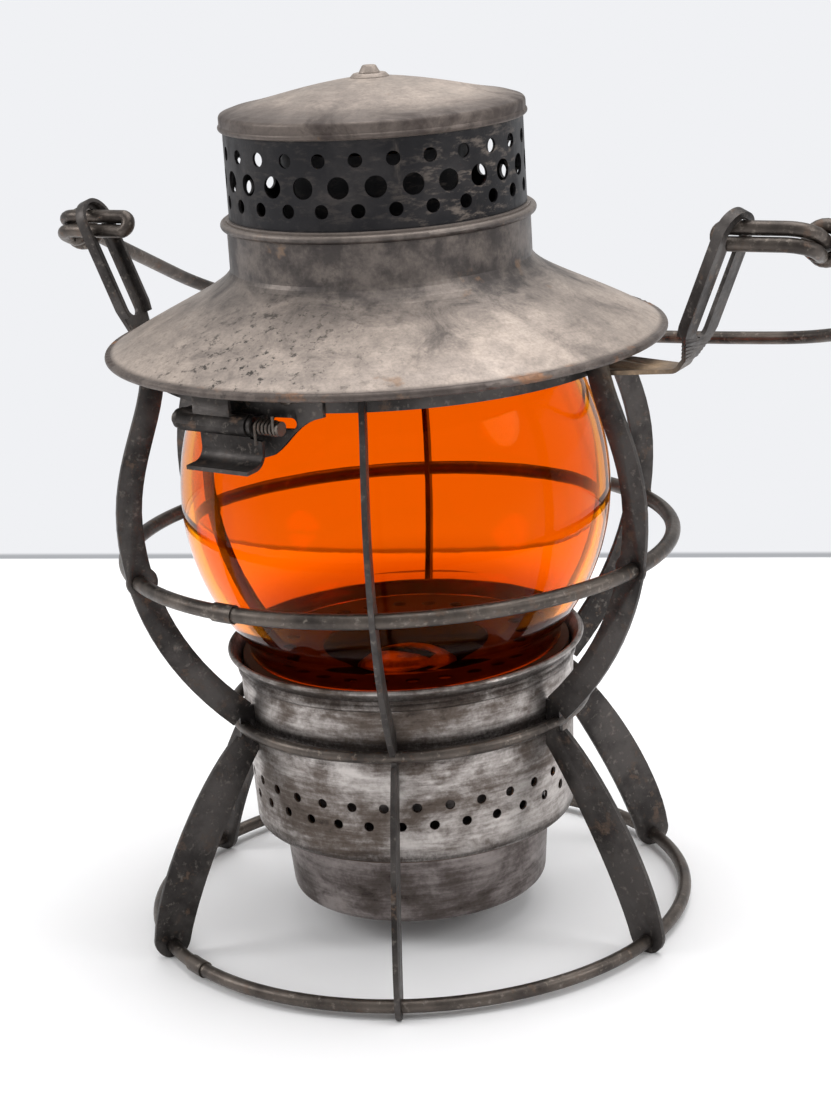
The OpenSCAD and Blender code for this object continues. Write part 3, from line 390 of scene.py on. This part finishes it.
def makeWornTin(name, t):
    f = Finish(name, Metallic=t["metal"])
    cloud, blot = f.noise(**t["clouds"]), f.noise(**t["blots"])
    brushed, grain = f.noise(**t["brushing"]), f.noise(**t["grain"])
    mottled = cloud * 0.48 + blot * 0.28 + brushed * 0.16 + grain * 0.08

    def past(ends, start, end):
        return f.span(mottled, t["wear"] + ends[0], t["wear"] + ends[1], start, end)

    colour = f.blend(past(t["greyBy"], 0.0, 1.0), t["bright"], t["grey"])
    colour = f.blend(past(t["stainBy"], 0.0, t["stainMost"]), colour, t["stain"])
    colour = f.blend(past(t["darkBy"], 0.0, t["stainMost"]), colour, t["dark"])
    rough = past(t["roughBy"], *t["roughness"])
    if "waistZ" in t:  # darker under the lip, along the waist ring and towards the floor, and darker brown inside
        z = f.along("Z")
        ragged = z + (blot - 0.5) * t["ragged"]
        band = f.span(abs(ragged - t["waistZ"]), *t["waistReach"], 1.0, 0.0)
        lip = f.span(ragged, *t["lipZ"]) * f.span(z, *t["lipTopZ"], 1.0, 0.25)
        low = f.span(ragged, *t["floorZ"], 0.85, 0.0)
        darkening = band.over(lip).over(low) * f.span(grain * 0.5 + brushed * 0.5, *t["dirtCover"])
        colour = f.blend(darkening, colour, t["dark"])
        wall = (z - t["wallZ"]) * t["wallSlope"] + t["wallR"]
        inside = f.span(f.radius() - wall, *t["insideR"], 1.0, 0.0)
        colour = f.blend(inside, colour, t["soot"])
        rough = (rough + inside * 0.3).clamped()
    f.give("Base Color", colour)
    f.give("Roughness", rough)
    f.bump(brushed * 0.5 + grain + cloud * 2.0, t["brushDepth"])
    return f.material


# The glass is tinted deeper where it is seen edge on, and darkened with painted shade where it stands in the cup,
# fading out above the cup's lip.
amberGlass = {"face": (0.99, 0.34, 0.003, 1.0), "edge": (0.66, 0.10, 0.001, 1.0),
              "foot": (0.40, 0.075, 0.004, 1.0), "shine": (1.0, 0.30, 0.06, 1.0),
              "ior": 1.2, "roughness": 0.015,
              "swells": dict(scale=38, detail=2, roughness=0.4),
              "ripples": dict(scale=160, detail=2, roughness=0.4, shift=3),
              "edgeCover": (0.3, 0.95), "footZ": (0.0835, 0.0985), "footMost": 0.85,
              "swellDepth": 0.0002, "swellStrength": 0.5}


def makeAmberGlass():
    t = amberGlass
    f = Finish("amberGlass", Roughness=t["roughness"], IOR=t["ior"], Transmission_Weight=1.0,
               Specular_Tint=t["shine"])
    facing = f.node("ShaderNodeLayerWeight", {}, {"Blend": 0.35}, "Facing")
    colour = f.blend(f.span(facing, *t["edgeCover"]), t["face"], t["edge"])
    # painted shade of the cup over the glass's foot
    foot = f.span(f.along("Z"), *t["footZ"], t["footMost"], 0.0)
    f.give("Base Color", f.blend(foot, colour, t["foot"]))
    f.bump(f.noise(**t["swells"]) + f.noise(**t["ripples"]) * 0.12, t["swellDepth"], t["swellStrength"])
    return f.material


burnerBrass = {"bright": rgb(186, 150, 88), "dull": rgb(122, 96, 60), "dark": rgb(62, 50, 38),
               "metal": 1.0, "roughness": (0.3, 0.6), "clouds": dict(scale=110, detail=6, roughness=0.65),
               "grain": dict(scale=1500, detail=3), "dullCover": (0.35, 0.6), "darkCover": (0.55, 0.75),
               "grainDepth": 0.00003}


def makeBurnerBrass():
    t = burnerBrass
    f = Finish("burnerBrass", Metallic=t["metal"])
    cloud = f.noise(**t["clouds"])
    colour = f.blend(f.span(cloud, *t["dullCover"]), t["bright"], t["dull"])
    f.give("Base Color", f.blend(f.span(cloud, *t["darkCover"]), colour, t["dark"]))
    f.give("Roughness", f.span(cloud, 0.3, 0.7, *t["roughness"]))
    f.bump(f.noise(**t["grain"]), t["grainDepth"])
    return f.material


wickCotton = {"clean": rgb(226, 217, 196), "shade": rgb(168, 152, 124), "burnt": rgb(38, 30, 25),
              "roughness": 0.9, "sheen": 0.3, "weave": 0.0011, "shadeMost": 0.35, "burntZ": (0.066, 0.0692),
              "weaveDepth": 0.0002}


def makeWickCotton():
    t = wickCotton
    f = Finish("wickCotton", Roughness=t["roughness"], Sheen_Weight=t["sheen"])
    threads = f.node("ShaderNodeTexWave", {"bands_direction": "X"},
                     {"Vector": f.point, "Scale": 0.5 / t["weave"]}, "Fac")
    rows = f.node("ShaderNodeTexWave", {"bands_direction": "Z"},
                  {"Vector": f.point, "Scale": 0.35 / t["weave"]}, "Fac")
    weave = threads * rows
    colour = f.blend(f.span(weave, 0.0, 1.0, t["shadeMost"], 0.0), t["clean"], t["shade"])
    f.give("Base Color", f.blend(f.span(f.along("Z"), *t["burntZ"]), colour, t["burnt"]))
    f.bump(weave, t["weaveDepth"])
    return f.material


finishes = {
    "lid_tin": makeLidTin(), "dark_tin": makeDarkTin(), "cage_steel": makeSteel("cageSteel", cageSteel),
    "ring_steel": makeSteel("ringSteel", ringSteel), "cup_tin": makeWornTin("cupTin", cupTin),
    "fount_tin": makeWornTin("fountTin", fountTin), "amber_glass": makeAmberGlass(),
    "burner_brass": makeBurnerBrass(), "wick_cotton": makeWickCotton()}

slotOf = {part["node"]: part["material_slot"] for part in frame["record"]["subparts"]}
for name, node in nodes.items():
    node.data.materials.clear()
    node.data.materials.append(finishes[slotOf[name]])
print("finishes made:", len(finishes))


# The amber globe, spun from its profile, with a rounded rim and foot
globe = {"radius": 0.0606, "foot": 0.0446, "rim": 0.0504, "height": 0.086, "bulge": 0.0466, "seat": 0.0804,
         "wall": 0.003, "footRise": 0.005, "footFlare": 0.0006, "rimRise": 0.004, "rimFlare": 0.0008,
         "arcSteps": 28, "turnSteps": 144, "edge": 0.0011, "edgeSteps": 4, "corner": 60, "smooth": 40}


def makeGlobe():
    g = globe
    # each half of the outline is one arc, upright at the bulge
    low, high = g["bulge"] - g["footRise"], g["height"] - g["bulge"] - g["rimRise"]
    lowRun, highRun = g["radius"] - g["foot"] - g["footFlare"], g["radius"] - g["rim"] - g["rimFlare"]
    lowR, highR = (lowRun ** 2 + low ** 2) / (2 * lowRun), (highRun ** 2 + high ** 2) / (2 * highRun)
    middle, top = g["seat"] + g["bulge"], g["seat"] + g["height"]
    outer = [(g["foot"], g["seat"]), (g["foot"] + g["footFlare"] / 2, g["seat"] + g["footRise"] * 0.6)]
    outer += arcPoints(g["radius"] - lowR, middle, lowR, -degrees(asin(low / lowR)), 0, g["arcSteps"])
    outer += arcPoints(g["radius"] - highR, middle, highR, 0, degrees(asin(high / highR)), g["arcSteps"])[1:]
    outer += [(g["rim"] + g["rimFlare"] / 2, top - g["rimRise"] * 0.4), (g["rim"], top)]
    ways = [Vector(b) - Vector(a) for a, b in zip([outer[0]] + outer[:-1], outer[1:] + [outer[-1]])]
    inner = [(x - g["wall"] * way[1] / way.length, z + g["wall"] * way[0] / way.length)
             for (x, z), way in zip(outer, ways)]
    inner[0], inner[-1] = (outer[0][0] - g["wall"], outer[0][1]), (outer[-1][0] - g["wall"], outer[-1][1])
    pick(lineThrough([(x, 0, z) for x, z in outer + inner[::-1]], closed=True))
    bpy.ops.object.convert(target="MESH")
    spun = bpy.context.object
    bpy.ops.object.modifier_add(type="SCREW")
    screw = spun.modifiers[0]
    screw.steps = screw.render_steps = g["turnSteps"]
    screw.use_merge_vertices = True
    screw.merge_threshold = mergeGap / 2
    bpy.ops.object.modifier_apply(modifier=screw.name)
    bpy.ops.object.modifier_add(type="BEVEL")
    bevel = spun.modifiers[0]
    bevel.width, bevel.segments, bevel.angle_limit = g["edge"], g["edgeSteps"], radians(g["corner"])
    bpy.ops.object.modifier_apply(modifier=bevel.name)
    return settle(spun, "globeGlass", g["smooth"])


def dress(piece, slot, body, *replaced):  # finish, body and the nodes that a piece stands for
    piece.data.materials.clear()
    piece.data.materials.append(finishes[slot])
    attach(piece, body)
    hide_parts(*replaced)


dress(makeGlobe(), "amber_glass", "root", "globe")
print("globe made")


# Sheet and strip pieces with worn, rounded edges
softened = {**{f"guard_bar_{number}": 0.00028 for number in range(1, 7)},
            "bail_ear_left": 0.00022, "bail_ear_right": 0.00022,
            "latch_bracket": 0.0002, "latch_lever": 0.0002, "hinge_bracket": 0.0002, "hinge_leaf": 0.0002,
            "latch_catch": 0.00018, "cap_washer": 0.0002, "cap_rivet": 0.0003, "fount_lugs": 0.0002}
softening = {"flat": 0.5, "corner": 42, "steps": 2, "smooth": 32}  # angles in degrees
bodyOf = {node: body for body, group in frame["record"]["behaviour"]["bodies"].items() for node in group}


def soften(name, width):
    piece = twinOf(nodes[name])
    piece.parent = None
    pick(piece)
    bpy.ops.object.mode_set(mode="EDIT")
    bpy.ops.mesh.select_all(action="SELECT")
    bpy.ops.mesh.remove_doubles(threshold=mergeGap)
    bpy.ops.mesh.dissolve_limited(angle_limit=radians(softening["flat"]))
    bpy.ops.object.mode_set(mode="OBJECT")
    bpy.ops.object.modifier_add(type="BEVEL")
    bevel = piece.modifiers[0]
    bevel.width, bevel.segments = width, softening["steps"]
    bevel.limit_method, bevel.angle_limit = "ANGLE", radians(softening["corner"])
    bpy.ops.object.modifier_apply(modifier=bevel.name)
    words = name.split("_")
    softName = words[0] + "".join(word.capitalize() for word in words[1:]) + "Soft"
    return settle(piece, softName, softening["smooth"])


for name, width in softened.items():
    dress(soften(name, width), slotOf[name], bodyOf[name], name)
print("edges softened:", len(softened))


wireSmooth = 50  # wire shades smooth over corners up to this many degrees


def wireFrom(points, diameter, sides, name):  # a round wire along a line of points, with closed ends
    wire = lineThrough(points)
    wire.data.bevel_depth = diameter / 2
    wire.data.bevel_resolution = sides // 4
    wire.data.use_fill_caps = True
    wire.data.twist_mode = "MINIMUM"
    pick(wire)
    bpy.ops.object.convert(target="MESH")
    return settle(bpy.context.object, name, wireSmooth)


# The bail: one round wire with a doubled eye at each end, lying back against the ears
bail = {"wire": 0.004, "halfWidth": 0.115, "rise": 0.133, "cornerRadius": 0.060, "topRadius": 0.400,
        "rest": 25, "slid": 0.008, "pivot": joints["bail_hinge"]["pos_m"][2],
        "eyeIn": 0.088, "pairPitch": 0.0043, "eyeCorner": 0.007,
        "wrapRadius": 0.0043, "wrapUp": 0.010, "wrapRise": 0.0046, "wrapTurns": 1.25,
        "turnStep": 15, "eyeSteps": 12, "cornerSteps": 28, "topSteps": 12, "sides": 20}


def makeBail():
    b = bail
    bend = b["pairPitch"] / 2
    turnX = b["eyeIn"] + b["wire"] / 2 + bend
    drop, run = b["topRadius"] - b["cornerRadius"], b["halfWidth"] - b["cornerRadius"]
    sideTop = b["rise"] - b["topRadius"] + sqrt(drop * drop - run * run)
    half = degrees(atan2(run, sideTop - b["rise"] + b["topRadius"]))
    # the wire's end winds down round the bail, passes through the ear and back, and rises to the arch
    wrap = [(b["halfWidth"] + b["wrapRadius"] * cos(radians(90 + a)),
             -bend + b["wrapRadius"] * sin(radians(90 + a)), b["wrapUp"] + b["wrapRise"] * a / 360)
            for a in range(int(360 * b["wrapTurns"]), -1, -b["turnStep"])]
    down = arcPoints(b["halfWidth"] - b["eyeCorner"], b["eyeCorner"], b["eyeCorner"], -90, 0, b["eyeSteps"])
    eye = [(x, bend, z) for x, z in reversed(down)]
    eye += [(turnX + bend * cos(radians(a)), bend * sin(radians(a)), 0) for a in range(90, 271, b["turnStep"])]
    eye += [(x, -bend, z) for x, z in down]
    corner = arcPoints(run, sideTop, b["cornerRadius"], 0, 90 - half, b["cornerSteps"])
    top = arcPoints(0, b["rise"] - b["topRadius"], b["topRadius"], 90 - half, 90, b["topSteps"])
    side = wrap + eye + [(x, -bend, z) for x, z in corner + top[1:]]
    other = [(-x, y, z) for x, y, z in reversed(side[:-1])]
    pose = Matrix.Translation((b["slid"], 0, b["pivot"])) @ Matrix.Rotation(radians(-90 - b["rest"]), 4, "X")
    return wireFrom([pose @ Vector(p) for p in side + other], b["wire"], b["sides"], "bailWire")


dress(makeBail(), "ring_steel", "bail", "bail")
print("bail made")


# Torsion spring on the latch pin
spring = {"wire": 0.0008, "radius": 0.00175, "turns": 5, "length": 0.006, "start": 0.0089,
          "legDown": 0.0046, "legUp": 0.0036, "pinRadius": 0.070, "pinHeight": joints["latch_turn"]["pos_m"][2],
          "turnStep": 15, "sides": 12}


def makeSpring():
    s = spring
    pitch, end = s["length"] / s["turns"], s["start"] + s["length"]
    coil = [(s["radius"] * cos(radians(a)), s["start"] + pitch * a / 360, s["radius"] * sin(radians(a)))
            for a in range(0, 360 * s["turns"] + 1, s["turnStep"])]
    points = [(s["radius"], s["start"], -s["legDown"])] + coil + [(s["radius"], end, s["legUp"])]
    pose = around(latchAzimuth) @ Matrix.Translation((s["pinRadius"], 0, s["pinHeight"]))
    return wireFrom([pose @ Vector(p) for p in points], s["wire"], s["sides"], "latchSpringWire")


dress(makeSpring(), "ring_steel", "root", "latch_spring")
print("spring made")


# Domed rivets through the band
rivet = {"head": 0.0046, "dome": 0.0011, "sunk": 0.0002, "shank": 0.0024, "shankLength": 0.0032,
         "shankMiddle": 0.0015, "tailShare": 0.44, "tailDepth": 0.0008, "tailLift": 0.0005,
         "tailEdge": 0.0003, "tailEdgeSteps": 3, "plate": 0.00122, "wall": 0.0008, "bandRadius": 0.065,
         "height": 0.1677, "sides": 24, "rings": 16, "smooth": 40,
         # half of the gap between the two rivets at each azimuth
         "halfGaps": {90: 0.006, 270: 0.006, hingeAzimuth: 0.0064, latchAzimuth: 0.014}}


def makeRivets():
    r = rivet
    deselectAll()
    bpy.ops.mesh.primitive_uv_sphere_add(segments=r["sides"], ring_count=r["rings"], radius=r["head"] / 2)
    head = bpy.context.object
    bpy.ops.object.mode_set(mode="EDIT")
    bpy.ops.mesh.select_all(action="SELECT")
    bpy.ops.mesh.bisect(plane_co=(0, 0, r["sunk"]), plane_no=(0, 0, 1), use_fill=True, clear_inner=True)
    bpy.ops.mesh.select_all(action="SELECT")
    bpy.ops.transform.resize(value=(1, 1, r["dome"] / (r["head"] / 2)))
    bpy.ops.object.mode_set(mode="OBJECT")
    bpy.ops.mesh.primitive_cylinder_add(
        vertices=r["sides"], radius=r["shank"] / 2, depth=r["shankLength"], location=(0, 0, -r["shankMiddle"]))
    shank = bpy.context.object
    bpy.ops.mesh.primitive_cylinder_add(
        vertices=r["sides"], radius=r["head"] * r["tailShare"], depth=r["tailDepth"],
        location=(0, 0, -r["plate"] - r["wall"] - r["tailLift"]))
    tail = bpy.context.object
    pick(tail)
    bpy.ops.object.modifier_add(type="BEVEL")
    bevel = tail.modifiers[0]
    bevel.width, bevel.segments = r["tailEdge"], r["tailEdgeSteps"]
    bpy.ops.object.modifier_apply(modifier=bevel.name)
    pick(shank, tail, head)
    bpy.ops.object.join()
    onBand = Matrix.Translation((r["bandRadius"] + r["plate"], 0, r["height"]))
    head.matrix_world = onBand @ Matrix.Rotation(radians(90), 4, "Y") @ head.matrix_world
    places = [around(azimuth + side * degrees(asin(offset / r["bandRadius"])))
              for azimuth, offset in r["halfGaps"].items() for side in (-1, 1)]
    return settle(copies(head, places), "bandRivets", r["smooth"])


dress(makeRivets(), "ring_steel", "root", "frame_rivets")
print("rivets made")


# Floor and light. The table ends at a seam, and what lies behind it shows as the wall.
studio = {"table": rgb(248, 248, 249), "wall": rgb(240, 241, 244), "seam": rgb(176, 178, 182),
          "across": (-0.2669, 0.9637, 0.0), "edgeAt": 0.3461, "edgeFade": 0.003, "seamWidth": (0.003, 0.009),
          "farR": (0.7, 1.8), "size": 14, "roughness": 0.6, "worldLight": 0.62}


def makeFloor():
    s = studio
    deselectAll()
    bpy.ops.mesh.primitive_plane_add(size=s["size"], location=(0, 0, 0))
    floor = bpy.context.object
    floor.name = "floor"
    f = Finish("paleFloor", Roughness=s["roughness"], Base_Color=s["table"])
    behind = f.node("ShaderNodeVectorMath", {"operation": "DOT_PRODUCT"}, {0: f.point, 1: s["across"]}, "Value")
    behind = behind - s["edgeAt"]
    offSeam = f.span(abs(behind - s["edgeFade"]), *s["seamWidth"])
    paper = f.node("ShaderNodeEmission", {}, {"Color": f.blend(offSeam, s["seam"], s["wall"])})
    shown = f.span(behind, 0.0, s["edgeFade"]).over(f.span(f.radius(), *s["farR"]))
    shown = shown * f.seenBy("Is Camera Ray", "Is Glossy Ray", "Is Transmission Ray")
    table = Value(f, f.shader.outputs[0])
    f.end("Material Output", f.node("ShaderNodeMixShader", {}, {0: shown, 1: table, 2: paper}))
    floor.data.materials.append(f.material)


def makeWorld():
    scene.world = bpy.data.worlds.new("studio")
    scene.world.use_nodes = True
    w = Nodes(scene.world.node_tree)
    light = w.node("ShaderNodeBackground", {}, {"Color": (1, 1, 1, 1), "Strength": studio["worldLight"]})
    wall = w.node("ShaderNodeBackground", {}, {"Color": studio["wall"]})
    seen = w.seenBy("Is Camera Ray", "Is Transmission Ray")
    w.end("World Output", w.node("ShaderNodeMixShader", {}, {0: seen, 1: light, 2: wall}))


lamps = {"topLamp": {"place": (0.1, 0.2, 1.3), "size": 1.3, "power": 14},
         "leftLamp": {"place": (-1.1, -0.7, 0.9), "size": 0.7, "power": 7},
         "rightLamp": {"place": (1.2, 0.1, 0.7), "size": 0.5, "power": 4}}
lampAim = (0, 0, 0.1)


def makeLamp(name, place, size, power):
    bpy.ops.object.light_add(type="AREA", location=place)
    lamp = bpy.context.object
    lamp.name = name
    lamp.data.shape = "DISK"
    lamp.data.size = size
    lamp.data.energy = power
    lamp.rotation_euler = (Vector(lampAim) - Vector(place)).to_track_quat("-Z", "Y").to_euler()


makeFloor()
makeWorld()
for name, lamp in lamps.items():
    makeLamp(name, **lamp)
scene.view_settings.view_transform = "Standard"
print("stage and lamps made")
